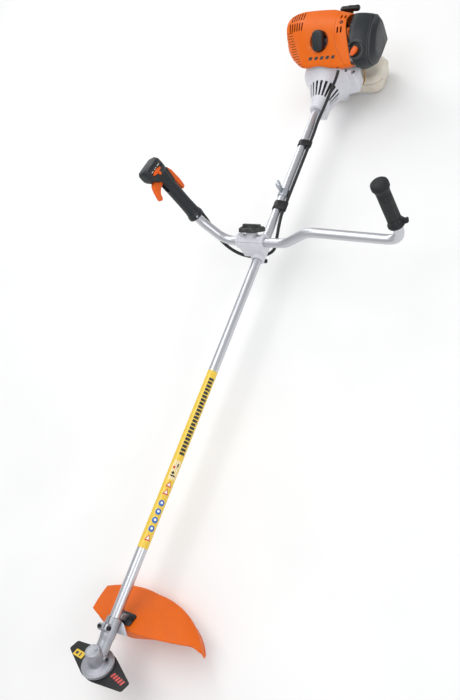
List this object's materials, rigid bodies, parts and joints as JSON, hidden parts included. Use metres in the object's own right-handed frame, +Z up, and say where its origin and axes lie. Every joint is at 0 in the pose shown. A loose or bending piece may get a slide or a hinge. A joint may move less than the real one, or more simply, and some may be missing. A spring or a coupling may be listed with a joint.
{
  "type": "brush mower",
  "caption": "Petrol brush mower on a long straight tube: angled gearbox with a two-tooth blade and curved guard, two-handed bar with throttle grip, and a small air-cooled engine.",
  "frame": {"origin": "on the floor, on the underside of the support foot below the fuel tank", "axes": "+X along the drive tube from the cutting head to the engine, +Y to the operator's right, +Z up"},
  "size_m": [1.8398, 0.6318, 0.4281],
  "materials": {
    "blade_coating": "black coated blade steel, satin",
    "cast_aluminium": "die cast, fine grain, satin",
    "machined_steel": "machined",
    "zinc_steel": "zinc plated",
    "black_steel": "black oxide",
    "anodised_tube": "drawn and clear anodised, satin",
    "orange_plastic": "moulded, semi gloss",
    "slate_plastic": "moulded, fine grain",
    "grey_housing": "moulded, light grey",
    "grip_rubber": "moulded, ribbed",
    "tank_plastic": "translucent blow moulded",
    "label_film": "printed film",
    "cable_sheath": "braided sleeve",
    "bronze": "sintered bronze",
    "filter_paper": "pleated"
  },
  "bodies": {
    "machine": {"output_bearing_upper": "machined_steel", "output_bearing_lower": "machined_steel", "guard_screw_left": "zinc_steel", "guard_screw_right": "zinc_steel", "input_bearing": "machined_steel", "gearbox_housing": "cast_aluminium", "gearbox_clamp_screw": "black_steel", "gearbox_lug_screw": "black_steel", "grease_plug": "zinc_steel", "guard": "orange_plastic", "drive_tube": "anodised_tube", "shaft_bush": "bronze", "label_sleeve": "label_film", "handle_clamp_cap": "grey_housing", "handle_clamp_base": "grey_housing", "clamp_pinch_screw": "zinc_steel", "throttle_cable": "cable_sheath", "cable_strap_lower": "grip_rubber", "cable_strap_upper": "grip_rubber", "carrying_eye": "zinc_steel", "carrying_eye_screw": "zinc_steel", "clutch_housing": "grey_housing", "crankcase": "cast_aluminium", "cylinder": "cast_aluminium", "spark_plug": "zinc_steel", "spark_plug_boot": "grip_rubber", "engine_shroud": "orange_plastic", "shroud_side_panel": "orange_plastic", "air_filter_cover": "slate_plastic", "air_filter_element": "filter_paper", "carburettor": "cast_aluminium", "muffler": "black_steel", "starter_housing": "slate_plastic", "fuel_tank": "tank_plastic", "support_foot": "slate_plastic", "guard_bracket": "black_steel"},
    "cutter": {"bevel_gear": "machined_steel", "output_shaft": "machined_steel", "thrust_plate": "cast_aluminium", "blade": "blade_coating", "rider_plate": "zinc_steel", "blade_nut": "zinc_steel"},
    "driveline": {"drive_shaft": "machined_steel", "bevel_pinion": "machined_steel", "clutch_drum": "machined_steel"},
    "crank": {"crankshaft": "machined_steel", "flywheel": "cast_aluminium", "clutch_rotor": "machined_steel"},
    "piston_and_rod": {"piston": "cast_aluminium", "connecting_rod": "machined_steel"},
    "handlebar_set": {"handlebar": "anodised_tube", "left_grip": "grip_rubber", "throttle_grip": "slate_plastic"},
    "trigger": {"throttle_trigger": "orange_plastic"},
    "lockout": {"lockout_lever": "orange_plastic"},
    "switch": {"stop_switch": "orange_plastic"},
    "clamp_knob_body": {"clamp_knob": "slate_plastic"},
    "choke": {"choke_lever": "orange_plastic"},
    "starter_pull_grip": {"starter_grip": "grip_rubber"},
    "tank_cap": {"fuel_cap": "slate_plastic"}
  },
  "joints": [
    {"name": "blade_spin", "type": "hinge", "parent": "machine", "child": "cutter", "pos_m": [-1.742, 0, 0.126], "axis": [0.4879, 0, 0.8729], "continuous": true},
    {"name": "drive_spin", "type": "hinge", "parent": "machine", "child": "driveline", "pos_m": [-1.742, 0, 0.126], "axis": [1, 0, 0], "continuous": true},
    {"name": "crank_spin", "type": "hinge", "parent": "machine", "child": "crank", "pos_m": [-0.042, 0, 0.126], "axis": [1, 0, 0], "continuous": true},
    {"name": "piston_stroke", "type": "slide", "parent": "machine", "child": "piston_and_rod", "axis": [0, 0, 1], "range_m": [0, 0.028]},
    {"name": "handlebar_tilt", "type": "hinge", "parent": "machine", "child": "handlebar_set", "pos_m": [-0.699, 0, 0.168], "axis": [0, 1, 0], "range_deg": [-10, 10], "deforming": ["throttle_cable"]},
    {"name": "trigger_squeeze", "type": "hinge", "parent": "handlebar_set", "child": "trigger", "pos_m": [-0.67675, 0.19049, 0.3806], "axis": [0.0597, -0.9391, 0.3384], "range_deg": [0, 15], "stiffness_Nm_per_rad": 1, "springref_deg": -8.59},
    {"name": "lockout_press", "type": "hinge", "parent": "handlebar_set", "child": "lockout", "pos_m": [-0.64884, 0.19117, 0.37758], "axis": [-0.0597, 0.9391, -0.3384], "range_deg": [0, 3.5], "stiffness_Nm_per_rad": 2, "springref_deg": -3.44},
    {"name": "stop_switch_slide", "type": "slide", "parent": "handlebar_set", "child": "switch", "axis": [0.9848, 0, -0.1736], "range_m": [0, 0.01]},
    {"name": "clamp_knob_turn", "type": "hinge", "parent": "machine", "child": "clamp_knob_body", "pos_m": [-0.67023, 0.008, 0.19579], "axis": [0.7193, 0, 0.6947], "range_deg": [0, 720]},
    {"name": "choke_turn", "type": "hinge", "parent": "machine", "child": "choke", "pos_m": [-0.1, -0.106, 0.222], "axis": [-0.7071, 0, 0.7071], "range_deg": [0, 70]},
    {"name": "starter_pull", "type": "slide", "parent": "machine", "child": "starter_pull_grip", "axis": [0.1045, 0, 0.9945], "range_m": [0, 0.7], "stiffness_N_per_m": 12, "springref_m": -0.25},
    {"name": "fuel_cap_turn", "type": "hinge", "parent": "machine", "child": "tank_cap", "pos_m": [0, 0.0963, 0.03665], "axis": [0, 1, 0], "range_deg": [0, 180]}
  ],
  "couplings": [
    {"joint": "drive_spin", "follows": "blade_spin", "ratio": -1.4}
  ]
}
